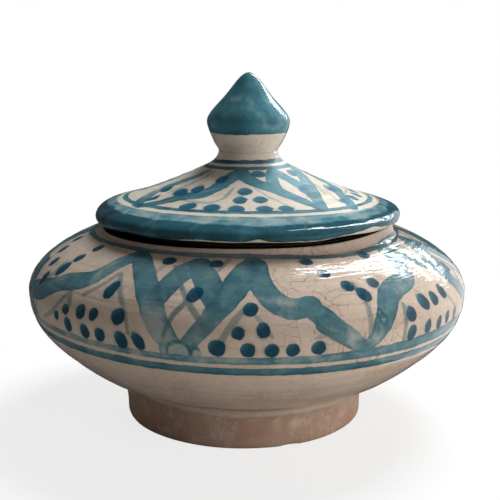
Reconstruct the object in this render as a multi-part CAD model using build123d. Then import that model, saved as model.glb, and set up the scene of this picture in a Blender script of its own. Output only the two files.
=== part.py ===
import os

from build123d import *

# Squat lidded jar, hand thrown in earthenware, in millimetres with +Z up.
# The origin is the centre of the foot, on the surface that the jar stands on.

# Foot: a ring of clay luted under the bowl.
foot_radius = 44.5
foot_wall = 8.0
foot_height = 16.2
foot_flare = 1.4          # how much wider the foot is where it meets the bowl
foot_taper = 1.5          # how much the hole of the foot closes in towards the bowl
foot_edge = 1.8           # rounding of the two edges that it stands on

# Bowl: thrown as one hollow form, closed below by a flat base.
belly_radius = 80.0       # widest line of the jar
belly_height = 49.7       # height of that line above the table
bowl_wall = 5.0
floor_thick = 6.5
floor_inset = 6.5         # the flat floor inside ends this far inside the foot joint
shoulder_wall = 4.6

# Collar: the low upright lip round the mouth, which carries the lid.
collar_radius = 53.6
collar_foot_height = 70.2
collar_height = 2.6
collar_wall = 4.6
collar_edge = 0.9         # rounding of its top edges
collar_sweep = 1.6        # hollow between the shoulder and the collar

# Lid: overhanging rolled rim, flat seat, ring that drops into the mouth.
lid_radius = 55.6         # widest line of the rim
lip_tuck = 1.7            # the rim's lower edge lies this far inside its widest line
lip_rise = 1.8            # and this far above the seat
rim_swell = 2.2           # from the lower edge up to the widest line
rim_thick = 3.9           # from the lower edge up to the top of the rim
rim_round = 1.7           # the top of the rim lies this far inside the widest line
lid_rise = 19.8           # from the top of the rim up to the knob's seat
seat_width = 3.4
mouth_clearance = 1.0     # between the locating ring and the mouth, all round
ring_depth = 6.5
ring_wall = 3.8
ring_edge = 1.2           # rounding of the ring's lower edges
hollow_rise = 1.0         # the hollow of the lid starts this far above the rim's lower edge
crown_thick = 8.0         # solid clay under the knob

# Knob: a pointed bud luted onto the stub in the middle of the lid.
stem_radius = 10.7
knob_radius = 15.1
knob_belly = 10.3         # from the stub up to the knob's widest line
knob_height = 27.9

# Outlines, as shares of the widths and heights that they span (outward, upward).
belly_shares = [(0.27, 0.09), (0.68, 0.395), (0.93, 0.69)]
shoulder_shares = [(0.90, 0.33), (0.67, 0.60), (0.18, 0.915)]
lid_slope_shares = [(0.80, 0.13), (0.41, 0.435), (0.12, 0.715), (0.03, 0.845)]
lid_hollow_shares = [(0.80, 0.26), (0.45, 0.68), (0.20, 0.93)]
knob_lower_shares = [(0.25, 0.18), (0.60, 0.46), (0.93, 0.83)]
knob_upper_shares = [(0.89, 0.21), (0.58, 0.51), (0.34, 0.775), (0.175, 0.93)]

# Heights and radii that pieces meet at.
foot_joint_radius = foot_radius + foot_flare
seat_height = collar_foot_height + collar_height
mouth_radius = collar_radius - collar_wall
rim_bottom = seat_height + lip_rise
rim_top = rim_bottom + rim_thick
knob_seat = rim_top + lid_rise


def at(radius, height):
    # A point of an outline, in the plane that is turned round the axis.
    return (radius, 0, height)


def outline_points(near, far, low, high, shares):
    # Shares outward run from the radius near to far, shares upward from the height low to high.
    return [at(near + out * (far - near), low + up * (high - low)) for out, up in shares]


def turned(edges):
    # A closed outline on one side of the axis, turned into a solid as on a wheel.
    return revolve(make_face(Wire(edges)), Axis.Z)


def bowl_side(base_radius, base_height, belly, neck_radius, neck_height):
    # One face of the bowl's wall: out to the widest line, then in over the shoulder.
    flare = Spline(at(base_radius, base_height),
                   *outline_points(base_radius, belly, base_height, belly_height, belly_shares),
                   at(belly, belly_height), tangents=[(1, 0, 0.1), (0, 0, 1)])
    shoulder = Spline(flare @ 1,
                      *outline_points(neck_radius, belly, belly_height, neck_height,
                                      shoulder_shares),
                      at(neck_radius, neck_height), tangents=[(0, 0, 1), (-1, 0, 0.4)])
    return flare, shoulder


def make_foot_ring():
    hole_radius = foot_radius - foot_wall
    outside = Spline(at(foot_radius, 0), at(foot_radius, foot_height / 2),
                     at(foot_joint_radius, foot_height), tangents=[(0, 0, 1), (1, 0, 1)])
    joint = Line(outside @ 1, at(hole_radius - foot_taper, foot_height))
    hole = Line(joint @ 1, at(hole_radius, 0))
    ring = turned([outside, joint, hole, Line(hole @ 1, outside @ 0)])
    return fillet(ring.edges().group_by(Axis.Z)[0], foot_edge)


def make_bowl():
    floor_height = foot_height + floor_thick
    neck_height = collar_foot_height - shoulder_wall
    flare, shoulder = bowl_side(foot_joint_radius, foot_height, belly_radius,
                                collar_radius, collar_foot_height)
    inner_flare, inner_shoulder = bowl_side(foot_joint_radius - floor_inset, floor_height,
                                            belly_radius - bowl_wall, mouth_radius, neck_height)
    collar = Polyline(shoulder @ 1, at(collar_radius, seat_height),
                      at(mouth_radius, seat_height), inner_shoulder @ 1)
    base = Polyline(inner_flare @ 0, at(0, floor_height), at(0, foot_height), flare @ 0)
    bowl = turned([flare, shoulder, *collar.edges(), inner_shoulder, inner_flare, *base.edges()])
    bowl = fillet(bowl.edges().group_by(Axis.Z)[-1], collar_edge)
    corners = bowl.edges().filter_by(GeomType.CIRCLE)
    collar_foot = corners.filter_by(lambda edge: abs(edge.center().Z - collar_foot_height) < collar_edge)
    mouth_corner = corners.filter_by(lambda edge: abs(edge.center().Z - neck_height) < collar_edge)
    return fillet(collar_foot + mouth_corner, collar_sweep)


def make_lid_cover():
    shoulder_radius = lid_radius - rim_round
    crown_height = knob_seat - crown_thick
    ring_radius = mouth_radius - mouth_clearance
    hole_radius = ring_radius - ring_wall
    hollow_height = rim_bottom + hollow_rise
    lip = at(lid_radius - lip_tuck, rim_bottom)
    rim = Spline(lip, at(lid_radius, rim_bottom + rim_swell), at(shoulder_radius, rim_top),
                 tangents=[(1, 0, 1), (-1, 0, 0.5)])
    slope = Spline(rim @ 1,
                   *outline_points(stem_radius, shoulder_radius, rim_top, knob_seat,
                                   lid_slope_shares),
                   at(stem_radius, knob_seat), tangents=[(-1, 0, 0.25), (0, 0, 1)])
    crown = Polyline(slope @ 1, at(0, knob_seat), at(0, crown_height))
    hollow = Spline(at(hole_radius, hollow_height),
                    *outline_points(0, hole_radius, hollow_height, crown_height,
                                    lid_hollow_shares),
                    at(0, crown_height), tangents=[(-0.5, 0, 1), (-1, 0, 0)])
    ring_bottom = seat_height - ring_depth
    ring = Polyline(hollow @ 0, at(hole_radius, ring_bottom), at(ring_radius, ring_bottom),
                    at(ring_radius, seat_height), at(ring_radius + seat_width, seat_height), lip)
    lid = turned([rim, slope, *crown.edges(), hollow, *ring.edges()])
    return fillet(lid.edges().group_by(Axis.Z)[0], ring_edge)


def make_knob():
    belly = knob_seat + knob_belly
    tip = knob_seat + knob_height
    lower = Spline(at(stem_radius, knob_seat),
                   *outline_points(stem_radius, knob_radius, knob_seat, belly, knob_lower_shares),
                   at(knob_radius, belly), tangents=[(0.3, 0, 1), (0, 0, 1)])
    upper = Spline(lower @ 1, *outline_points(0, knob_radius, belly, tip, knob_upper_shares),
                   at(0, tip), tangents=[(0, 0, 1), (-1, 0, 0)])
    stem = Polyline(upper @ 1, at(0, knob_seat), lower @ 0)
    return turned([lower, upper, *stem.edges()])


os.makedirs("parts", exist_ok=True)
export_step(make_foot_ring(), "parts/foot_ring.step")
export_step(make_bowl(), "parts/jar_bowl.step")
export_step(make_lid_cover(), "parts/lid_cover.step")
export_step(make_knob(), "parts/knob.step")
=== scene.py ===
import math

import bmesh
import bpy
import numpy as np
from mathutils import Matrix, Vector


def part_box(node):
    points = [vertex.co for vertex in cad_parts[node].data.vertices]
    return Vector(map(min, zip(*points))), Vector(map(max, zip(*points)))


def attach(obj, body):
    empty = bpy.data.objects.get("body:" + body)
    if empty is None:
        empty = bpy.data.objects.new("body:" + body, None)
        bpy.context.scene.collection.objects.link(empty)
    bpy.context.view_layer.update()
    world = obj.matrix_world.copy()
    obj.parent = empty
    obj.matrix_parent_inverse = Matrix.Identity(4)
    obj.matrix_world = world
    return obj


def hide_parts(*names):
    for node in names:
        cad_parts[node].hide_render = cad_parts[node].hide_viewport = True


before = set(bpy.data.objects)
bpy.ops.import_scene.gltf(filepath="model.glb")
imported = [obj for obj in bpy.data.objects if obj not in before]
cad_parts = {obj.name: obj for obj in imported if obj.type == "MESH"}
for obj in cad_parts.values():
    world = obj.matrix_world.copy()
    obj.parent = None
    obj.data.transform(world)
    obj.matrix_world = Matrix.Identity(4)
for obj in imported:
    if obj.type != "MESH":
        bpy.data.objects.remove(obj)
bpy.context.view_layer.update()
mm = 0.001  # everything below is in millimetres until it becomes a mesh
quarter = math.pi / 2
noPaint = 9.0  # the distance to a painted edge where none is near

# Azimuths go round the jar in degrees: 0 at the front, growing towards the right.
# Arcs run down the outside of a piece in millimetres, along its outline.


def nodeSizes(name):
    low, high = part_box(name)
    return {"radius": high[0] / mm, "low": low[2] / mm, "high": high[2] / mm}


def rgb(red, green, blue):  # a paint-box colour in 0 to 255, as the linear colour that shaders take
    shares = [value / 255 for value in (red, green, blue)]
    return tuple(s / 12.92 if s < 0.04045 else ((s + 0.055) / 1.055) ** 2.4 for s in shares) + (1.0,)


# Ramps and waves, for what a hand leaves uneven

def ramp(value, start, length):  # 0 at the start, 1 a length further on
    return np.clip((value - start) / length, 0, 1)


def turnGap(turn, middle):
    return (turn - middle + 180) % 360 - 180


def waves(turn, rows):  # each row is height, waves per turn and phase in radians
    around = np.radians(turn)
    return sum(size * np.sin(count * around + phase) for size, count, phase in rows)


def bumps(turn, rows):  # each row is height, azimuth of the middle and half width in degrees
    return sum(size * np.exp(-(turnGap(turn, middle) / half) ** 2) for size, middle, half in rows)


# Outlines

def smoothCurve(keys, startWay=None, endWay=None, gap=1.0):
    # A curve through all keys whose bend changes evenly, walked in steps of about one gap.
    keys = np.array(keys, float)
    steps = np.linalg.norm(np.diff(keys, axis=0), axis=1)
    travel = np.concatenate(([0.0], np.cumsum(steps)))
    count = len(keys)
    system = np.eye(count)
    slopes = np.zeros_like(keys)
    slopes[0] = keys[1] - keys[0] if startWay is None else startWay
    slopes[-1] = keys[-1] - keys[-2] if endWay is None else endWay
    slopes[0] /= np.linalg.norm(slopes[0])
    slopes[-1] /= np.linalg.norm(slopes[-1])
    for i in range(1, count - 1):
        before, after = steps[i - 1], steps[i]
        system[i, i - 1:i + 2] = after, 2 * (before + after), before
        rise = after * (keys[i] - keys[i - 1]) / before + before * (keys[i + 1] - keys[i]) / after
        slopes[i] = 3 * rise
    slopes = np.linalg.solve(system, slopes)
    walk = np.linspace(0, travel[-1], max(2, int(round(travel[-1] / gap)) + 1))
    part = np.clip(np.searchsorted(travel, walk, side="right") - 1, 0, count - 2)
    span = steps[part]
    t = ((walk - travel[part]) / span)[:, None]
    span = span[:, None]
    here, there = keys[part], keys[part + 1]
    return ((2 * t ** 3 - 3 * t ** 2 + 1) * here + (t ** 3 - 2 * t ** 2 + t) * span * slopes[part]
            + (3 * t ** 2 - 2 * t ** 3) * there + (t ** 3 - t ** 2) * span * slopes[part + 1])


def shareCurve(start, end, shares, startWay, endWay, gap):
    # From start to end through points given as shares of the width and the height between the two.
    low, high = np.minimum(start, end), np.maximum(start, end)
    middle = [tuple(low + np.array(share) * (high - low)) for share in shares]
    if math.dist(start, middle[0]) > math.dist(start, middle[-1]):
        middle.reverse()
    return smoothCurve([start] + middle + [end], startWay, endWay, gap)


def straightRun(start, end, gap=4.0):
    count = max(2, int(round(math.dist(start, end) / gap)) + 1)
    return np.linspace(start, end, count)


def joinStretches(stretches):
    points = list(stretches[0])
    for stretch in stretches[1:]:
        points += list(stretch[1:])
    return np.array(points)


def arcLengths(outline):
    return np.concatenate(([0.0], np.cumsum(np.linalg.norm(np.diff(outline, axis=0), axis=1))))


def arcAt(outline, point):  # how far along the outline its point nearest to the given one lies
    return arcLengths(outline)[np.argmin(np.linalg.norm(outline - np.array(point), axis=1))]


def roundCorner(outline, corner, reach, count=5, spare=0.05):
    # The stretch within reach of the corner becomes a small curve.
    travel = arcLengths(outline)
    middle = arcAt(outline, corner)
    start, end = [np.array([np.interp(middle + side, travel, outline[:, k]) for k in (0, 1)])
                  for side in (-reach, reach)]
    t = np.linspace(0, 1, count + 1)[:, None]
    bend = (1 - t) ** 2 * start + 2 * t * (1 - t) * np.array(corner) + t * t * end
    before = outline[travel < middle - reach - spare]
    after = outline[travel > middle + reach + spare]
    return np.vstack([before, bend, after])


def spinPiece(name, outline, steps, slices=8):
    # Turns the outline round the axis. Each vertex keeps its arc along the outline in a layer.
    # One slice is spun and copied round, because a long spin is slow.
    bm = bmesh.new()
    arcLayer = bm.verts.layers.float.new("arc")
    verts = []
    for (radius, height), arc in zip(outline, arcLengths(outline)):
        vert = bm.verts.new((max(radius, 0.0) * mm, 0, height * mm))
        vert[arcLayer] = arc
        verts.append(vert)
    edges = [bm.edges.new(pair) for pair in zip(verts, verts[1:])]
    if np.linalg.norm(outline[0] - outline[-1]) > 0.5 and outline[0][0] > 0:
        edges.append(bm.edges.new((verts[-1], verts[0])))
    bmesh.ops.spin(bm, geom=verts + edges, cent=(0, 0, 0), axis=(0, 0, 1), dvec=(0, 0, 0),
                   angle=math.tau / slices, steps=steps // slices, use_merge=False, use_duplicate=False)
    first = bm.verts[:] + bm.edges[:] + bm.faces[:]
    for count in range(1, slices):
        copied = bmesh.ops.duplicate(bm, geom=first)["geom"]
        bmesh.ops.rotate(bm, cent=(0, 0, 0), matrix=Matrix.Rotation(math.tau * count / slices, 3, "Z"),
                         verts=[item for item in copied if isinstance(item, bmesh.types.BMVert)])
    bmesh.ops.remove_doubles(bm, verts=bm.verts, dist=0.01 * mm)
    bmesh.ops.recalc_face_normals(bm, faces=bm.faces)
    for face in bm.faces:
        face.smooth = True
    return linkMesh(bm, name)


def linkMesh(bm, name):
    mesh = bpy.data.meshes.new(name)
    bm.to_mesh(mesh)
    bm.free()
    return linkThing(name, mesh)


def linkThing(name, data):
    thing = bpy.data.objects.new(name, data)
    bpy.context.collection.objects.link(thing)
    return thing


def readVertices(piece):  # place, azimuth and arc of every vertex
    mesh = piece.data
    place = np.empty(len(mesh.vertices) * 3)
    mesh.vertices.foreach_get("co", place)
    place = place.reshape(-1, 3) / mm
    arc = np.empty(len(mesh.vertices))
    mesh.attributes["arc"].data.foreach_get("value", arc)
    turn = np.degrees(np.arctan2(place[:, 0], -place[:, 1]))
    return place, turn, arc


def writeField(piece, name, values):
    mesh = piece.data
    layer = mesh.attributes.get(name) or mesh.attributes.new(name, "FLOAT", "POINT")
    values = np.broadcast_to(values, len(mesh.vertices))
    layer.data.foreach_set("value", np.ascontiguousarray(values, np.float32))


def spreadOf(place):
    return np.hypot(place[:, 0], place[:, 1])


def drawIn(place, inward, least=0.001):  # moves vertices towards the axis by so many millimetres
    place[:, :2] *= (1 - inward / np.maximum(spreadOf(place), least))[:, None]


def moveVertices(piece, place):
    piece.data.vertices.foreach_set("co", (place * mm).ravel())
    piece.data.update()


# Brush work: each stroke, dot and band is worked out as a distance in millimetres from its edge,
# below zero inside the paint, and the glaze shader turns that into colour.

brushPlan = {
    "lineGap": 0.7, "batch": 5,  # steps along a stroke, and how many are measured at a time
    "near": 3.0, "lookAround": 8.0,  # how far from a batch, and above or below a stroke, it is measured
    "melt": 0.6,  # strokes that cross run together over about this width
    "poolSkin": 0.5, "poolRim": 0.4, "poolDark": 0.55,  # how soon a pool is thin, and its dark edge
}


def makeWall(outline, zero, start, stop, margin):
    # The painted face of a piece, from the arc start to the arc stop, with arcs counted from its zero.
    # A stroke is measured up to the margin in degrees beyond its ends.
    return {"arc": arcLengths(outline) - zero, "radius": outline[:, 0], "height": outline[:, 1],
            "zero": zero, "from": start, "to": stop, "margin": margin}


def onWall(wall, turn, arc):
    radius = np.interp(arc, wall["arc"], wall["radius"])
    height = np.interp(arc, wall["arc"], wall["height"])
    around = np.radians(turn)
    return np.stack([radius * np.sin(around), -radius * np.cos(around), height], axis=-1)


def onFace(piece, wall):
    # Place, azimuth and arc of every vertex, and whether it is on the painted face.
    place, turn, arc = readVertices(piece)
    return place, turn, arc - wall["zero"], (arc > wall["from"]) & (arc < wall["to"])


def offsets(turn, down, middle, level, wall):  # from a spot on the wall, across and down
    radius = np.interp(level, wall["arc"], wall["radius"])
    return np.radians(turnGap(turn, middle)) * radius, down - level


def strokeLine(path, paint, wall):
    # Points of the stroke on the wall, with azimuth, half width and paint at each. A path point is
    # (azimuth, arc, width, paint), and the last two carry on until they are given again.
    widths, paints = [], []
    for point in path:
        widths.append(point[2] if len(point) > 2 else widths[-1])
        paints.append(point[3] if len(point) > 3 else (paints or [paint])[-1])
    turns, arcs = np.array([point[:2] for point in path], float).T
    scale = np.radians(1) * np.interp(arcs.mean(), wall["arc"], wall["radius"])  # millimetres per degree
    keys = np.stack([turns * scale, arcs], axis=1)
    flat = smoothCurve(keys, gap=brushPlan["lineGap"])
    corners = arcLengths(keys)
    walk = np.linspace(0, corners[-1], len(flat))
    halves = np.interp(walk, corners, widths) / 2
    loads = np.interp(walk, corners, paints)
    turns = flat[:, 0] / scale
    return onWall(wall, turns, flat[:, 1]), turns, halves, loads


def nearStroke(place, line, halves, loads):
    # Only the vertices close to each short batch of the line are measured against it.
    best = np.full(len(place), noPaint)
    held = np.full(len(place), 0.5)
    batch, room = brushPlan["batch"], brushPlan["near"] + halves.max()
    for first in range(0, len(line) - 1, batch):
        part = line[first:first + batch + 1]
        inside = (place > part.min(axis=0) - room) & (place < part.max(axis=0) + room)
        close = np.where(np.all(inside, axis=1))[0]
        if not len(close):
            continue
        near = place[close]
        found, load = best[close], held[close]
        for k in range(len(part) - 1):
            way = part[k + 1] - part[k]
            wide, wider = halves[first + k], halves[first + k + 1]
            offset = near - part[k]
            along = np.clip((offset @ way) / max(way @ way, 1e-9), 0, 1)
            away = np.linalg.norm(offset - along[:, None] * way, axis=1) - wide - along * (wider - wide)
            load = np.where(away < found, loads[first + k], load)
            found = np.minimum(found, away)
        best[close], held[close] = found, load
    return best, held


def paintStrokes(piece, prefix, strokes, wall):
    # The nearest stroke, the one painted over or under it, and how much paint there is, where the
    # paint of strokes that cross runs together.
    place, turn, down, face = onFace(piece, wall)
    nearest = np.full(len(turn), noPaint)
    second = nearest.copy()
    weights = np.full(len(turn), 1e-9)
    paints = 0.5 * weights
    around = brushPlan["lookAround"]
    for paint, path in strokes:
        line, turns, halves, loads = strokeLine(path, paint, wall)
        middle = (turns.min() + turns.max()) / 2
        reach = (turns.max() - turns.min()) / 2 + wall["margin"]
        arcs = [point[1] for point in path]
        chosen = np.where(face & (np.abs(turnGap(turn, middle)) < reach)
                          & (down > min(arcs) - around) & (down < max(arcs) + around))[0]
        found, held = nearStroke(place[chosen], line, halves, loads)
        weight = np.exp(-np.clip(found, -4, noPaint) / brushPlan["melt"])
        weights[chosen] += weight
        paints[chosen] += weight * held
        second[chosen] = np.minimum(second[chosen], np.maximum(found, nearest[chosen]))
        nearest[chosen] = np.minimum(nearest[chosen], found)
    writeField(piece, prefix + "Edge", nearest)
    writeField(piece, prefix + "Tone", paints / weights)
    if prefix == "wash":
        writeField(piece, "washOver", second)


def paintPools(piece, pools, wall):
    # Where wet paint gathered, it dried thin in the middle and dark at the edge. A pool is azimuth, arc,
    # width, height, paint in the middle.
    place, turn, down, face = onFace(piece, wall)
    tone = np.empty(len(turn))
    piece.data.attributes["washTone"].data.foreach_get("value", tone)
    for middle, level, wide, tall, thin in pools:
        across, along = offsets(turn, down, middle, level, wall)
        depth = (1 - np.hypot(across / (wide / 2), along / (tall / 2))) * min(wide, tall) / 2
        tone += ramp(depth, 0, brushPlan["poolSkin"]) * (thin - tone)
        tone += brushPlan["poolDark"] * np.exp(-(depth / brushPlan["poolRim"]) ** 2)
    writeField(piece, "washTone", tone)


def paintDots(piece, dots, wall, room=3):
    # A dot is azimuth, arc, width, height, lean in degrees. Its paint settles to the lower right.
    place, turn, down, face = onFace(piece, wall)
    nearest = np.full(len(turn), noPaint)
    settle = np.zeros(len(turn))
    for middle, level, wide, tall, lean in dots:
        across, along = offsets(turn, down, middle, level, wall)
        chosen = np.where(face & (np.abs(across) < wide + room) & (np.abs(along) < tall + room))[0]
        across, along = across[chosen], along[chosen]
        tilt = math.radians(lean)
        u = across * math.cos(tilt) + along * math.sin(tilt)
        v = along * math.cos(tilt) - across * math.sin(tilt)
        found = (np.hypot(u / (wide / 2), v / (tall / 2)) - 1) * min(wide, tall) / 2
        closer = found < nearest[chosen]
        nearest[chosen[closer]] = found[closer]
        settle[chosen[closer]] = (across / wide + along / tall)[closer]
    writeField(piece, "dotEdge", nearest)
    writeField(piece, "dotSettle", settle)


def paintBands(piece, bands, wall):
    # A band is a function of azimuth and arc that gives its upper and lower arc, and its paint.
    place, turn, down, face = onFace(piece, wall)
    nearest = np.full(len(turn), noPaint)
    tone = np.full(len(turn), 0.5)
    for edges in bands:
        upper, lower, paint = edges(turn, down)
        found = np.where(face, np.maximum(upper - down, down - lower), noPaint)
        tone = np.where(found < nearest, paint, tone)
        nearest = np.minimum(nearest, found)
    writeField(piece, "bandEdge", nearest)
    writeField(piece, "bandTone", tone)


# Shader parts. The patterns of the clay and the glaze are noises, each with its size in millimetres,
# detail, roughness and twist. Those that come in patches also say where a patch begins and is full.

noisePlan = {
    "cloud": (14, 3, 0.55, 0), "mottle": (1.6, 3, 0.6, 0), "speck": (0.8, 1, 0.5, 0, 0.70, 0.76),
    "clayCloud": (12, 3, 0.6, 0, 0.35, 0.65), "clayGrain": (0.6, 3, 0.7, 0),
    "clayWiped": (1.4, 2, 0.6, 0, 0.4, 0.7), "clayPale": (5, 3, 0.65, 0, 0.45, 0.7),
    "edgeWander": (4.2, 1.5, 0.5, 0), "edgeFine": (0.9, 2, 0.6, 0),
    "brush": (7, 3, 0.5, 0.6), "dryBrush": (1.3, 3, 0.65, 0), "green": (10, 3, 0.6, 0, 0.48, 0.7),
    "crackBreaks": (7, 1, 0.5, 0, 0.3, 0.52), "crackPatches": (22, 1, 0.5, 0, 0.4, 0.62),
    "glazeEnd": (6, 3, 0.6, 0), "ripple": (1.8, 0.7, 0.5, 0.5), "swell": (9, 2, 0.5, 0),
    "pinholes": (1.1, 2, 0.6, 0, 0.68, 0.8), "footCracks": (5, 2, 0.5, 0, 0.52, 0.66),
    "footPits": (1.6, 1, 0.5, 0, 0.72, 0.78), "footSpots": (2, 2, 0.5, 0), "footGrain": (1.4, 4, 0.65, 0),
}


class NodeSheet:
    # A node tree, with a short call for each node that the finishes are made of.

    def __init__(self, tree):
        self.tree = tree
        tree.nodes.clear()

    def add(self, kind, feeds=(), **settings):
        node = self.tree.nodes.new(kind)
        for name, value in settings.items():
            setattr(node, name, value)
        for socket, value in dict(feeds).items():
            if isinstance(value, bpy.types.NodeSocket):
                self.tree.links.new(value, node.inputs[socket])
            else:
                node.inputs[socket].default_value = value
        return node

    def place(self):
        return self.add("ShaderNodeTexCoord").outputs["Object"]

    def field(self, name):
        return self.add("ShaderNodeAttribute", attribute_name=name).outputs["Fac"]

    def maths(self, operation, *values, clamp=False):
        return self.add("ShaderNodeMath", enumerate(values), operation=operation, use_clamp=clamp).outputs[0]

    def plus(self, first, second):
        return self.maths("ADD", first, second)

    def times(self, first, second):
        return self.maths("MULTIPLY", first, second)

    def scaled(self, value, factor, offset, clamp=False):
        return self.maths("MULTIPLY_ADD", value, factor, offset, clamp=clamp)

    def ease(self, value, low, high):  # 0 at low, 1 at high
        feeds = {0: value, 1: low, 2: high, 3: 0.0, 4: 1.0}
        node = self.add("ShaderNodeMapRange", feeds, interpolation_type="SMOOTHSTEP", clamp=True)
        return node.outputs[0]

    def mix(self, factor, first, second, blend="MIX"):
        feeds = {0: factor, 6: first, 7: second}
        return self.add("ShaderNodeMix", feeds, data_type="RGBA", blend_type=blend).outputs[2]

    def stretched(self, vector, scale):
        return self.add("ShaderNodeMapping", {"Vector": vector, "Scale": scale}).outputs[0]

    def distance(self, where, spot):
        feeds = {0: where, 1: [value * mm for value in spot]}
        return self.add("ShaderNodeVectorMath", feeds, operation="DISTANCE").outputs["Value"]

    def noise(self, vector, name):
        size, detail, rough, twist = noisePlan[name][:4]
        feeds = {"Vector": vector, "Scale": 1 / (size * mm), "Detail": detail, "Roughness": rough,
                 "Distortion": twist}
        return self.add("ShaderNodeTexNoise", feeds).outputs["Fac"]

    def patches(self, vector, name):
        return self.ease(self.noise(vector, name), *noisePlan[name][4:])

    def cracks(self, where, cell, edges, uneven=1.0):  # 1 on thin lines between cells
        feeds = {"Vector": where, "Scale": 1 / (cell * mm), "Randomness": uneven}
        cells = self.add("ShaderNodeTexVoronoi", feeds, feature="DISTANCE_TO_EDGE").outputs["Distance"]
        return self.ease(cells, *edges)

    def seenWhite(self):  # 1 for what the camera sees straight, mirrored or through glass
        path = self.add("ShaderNodeLightPath")
        seen = self.maths("MAXIMUM", path.outputs["Is Camera Ray"], path.outputs["Is Glossy Ray"])
        return self.maths("MAXIMUM", seen, path.outputs["Is Transmission Ray"])

    def mixShaders(self, factor, first, second):
        return self.add("ShaderNodeMixShader", {0: factor, 1: first.outputs[0], 2: second.outputs[0]})

    def fired(self, colour, rough, height, strength, depth):
        # The surface of fired clay or glaze, with its relief in millimetres.
        bump = self.add("ShaderNodeBump", {"Strength": strength, "Distance": depth * mm, "Height": height})
        feeds = {"Base Color": colour, "Roughness": rough, "IOR": 1.5,
                 "Specular IOR Level": glazeLook["shine"], "Normal": bump.outputs[0]}
        shader = self.add("ShaderNodeBsdfPrincipled", feeds)
        self.add("ShaderNodeOutputMaterial", {0: shader.outputs[0]})


def newMaterial(name):
    material = bpy.data.materials.new(name)
    material.use_nodes = True
    return material, NodeSheet(material.node_tree)


# Clay and glaze

clayLook = {
    "usual": rgb(188, 163, 145), "pink": rgb(188, 155, 139), "pale": rgb(208, 190, 172),
    "darkening": rgb(150, 124, 108), "wipedShare": 0.10, "grainShare": 0.45, "paleShare": 0.7,
}
glazeLook = {
    "shine": 0.3, "gloss": 0.03, "cloudRough": 0.10, "crackRough": 0.15, "wornRough": 0.36, "bareRough": 0.62,
    "wander": 0.9, "wanderFine": 0.3,  # how far painted edges wander, broadly and finely
    "speck": rgb(166, 138, 114), "speckShare": 0.4, "mottleShare": 0.6,
    "green": rgb(58, 106, 102), "greenShare": 0.3, "thick": rgb(10, 44, 48),
    "line": rgb(84, 112, 114), "haloShare": 0.3, "dotShare": 0.97,
    "crack": rgb(76, 58, 46), "crackShare": 0.62, "crackCell": 4.8, "crackEdges": (0.028, 0.006),
    "crackBend": 9, "crackPull": 0.014, "crackUneven": 0.8,
    # painted shade from the lid: a brown on the collar in the lid's shadow, and near-black in the gap under
    # the lip
    "darkening": rgb(112, 92, 80), "collarShadeShare": 0.34, "lidShade": rgb(32, 26, 22),
    "reliefDepth": 0.10, "swellHeight": 1.4, "crackDepth": 0.15, "pinholeDepth": 0.12, "clayHeight": 1.5,
}
# How the amount of paint on a spot comes about, and from which amounts it turns usual, full and thick.
paintLook = {
    "soft": 0.16, "streakShare": 0.44, "streakBase": -0.32, "poolShare": 0.2, "crossShare": 0.12,
    "usualAt": (0.0, 0.5), "fullAt": (0.42, 1.1), "thickAt": (1.1, 1.4), "coverGrows": 0.8, "coverFrom": 0.62,
}
bowlGlaze = {
    "cream": (rgb(199, 180, 164), rgb(186, 165, 148), rgb(212, 196, 181)),  # usual, warm, pale
    "paint": (rgb(124, 150, 152), rgb(76, 118, 127), rgb(18, 77, 98)),  # thin, usual, full
    "dots": (rgb(46, 102, 118), rgb(6, 62, 82)),  # thin, and where the paint settled
    "crackAt": (28, -66, 63), "crackReach": 33, "crackRest": 0.26, "ripples": 1.9,
}
lidGlaze = {
    # cream paler and cooler than the bowl's: partly a whiter glaze, partly painted light for the brighter
    # light that falls on the lid's top
    "cream": (rgb(210, 198, 184), rgb(200, 185, 169), rgb(222, 213, 202)),
    "paint": (rgb(118, 157, 166), rgb(60, 122, 136), rgb(6, 73, 88)),
    "dots": (rgb(50, 116, 134), rgb(14, 86, 110)),
    "crackAt": (10, -45, 80), "crackReach": 12, "crackRest": 0.15, "ripples": 0.6,
}
knobGlaze = dict(lidGlaze, crackAt=(0, 0, 0), crackReach=1, crackRest=0.25, ripples=1.0)


def creamColour(nodes, where, tones):
    usual, warm, pale = tones
    cloud = nodes.noise(where, "cloud")
    mottle = nodes.noise(where, "mottle")
    base = nodes.mix(nodes.ease(cloud, 0.4, 0.7), usual, warm)
    base = nodes.mix(nodes.times(nodes.ease(mottle, 0.45, 0.75), glazeLook["mottleShare"]), base, pale)
    speck = nodes.times(nodes.patches(where, "speck"), glazeLook["speckShare"])
    return nodes.mix(speck, base, glazeLook["speck"]), cloud, mottle


def clayColour(nodes, where):
    look = clayLook
    wiped = nodes.patches(nodes.stretched(where, (1.0, 1.0, 0.16)), "clayWiped")
    colour = nodes.mix(nodes.patches(where, "clayCloud"), look["usual"], look["pink"])
    pale = nodes.times(nodes.patches(where, "clayPale"), look["paleShare"])
    colour = nodes.mix(pale, colour, look["pale"])
    grain = nodes.times(nodes.noise(where, "clayGrain"), look["grainShare"])
    rub = nodes.scaled(wiped, look["wipedShare"], grain)
    return nodes.mix(rub, colour, look["darkening"], "MULTIPLY")


def crazing(nodes, where, finish):
    # Curved cracks in the glaze, denser in one place as on the jar.
    look = glazeLook
    feeds = {"Vector": where, "Scale": 1 / (look["crackBend"] * mm), "Detail": 1.0}
    bend = nodes.add("ShaderNodeTexNoise", feeds).outputs["Color"]
    feeds = {0: look["crackPull"], 4: where, 5: bend}
    bent = nodes.add("ShaderNodeMix", feeds, data_type="VECTOR").outputs[1]
    crack = nodes.cracks(bent, look["crackCell"], look["crackEdges"], look["crackUneven"])
    reach = finish["crackReach"] * mm
    dense = nodes.ease(nodes.distance(where, finish["crackAt"]), reach, 0.6 * reach)
    faint = nodes.times(nodes.patches(where, "crackPatches"), finish["crackRest"])
    crack = nodes.times(crack, nodes.maths("MAXIMUM", dense, faint))
    return nodes.times(crack, nodes.patches(where, "crackBreaks"))


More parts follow.
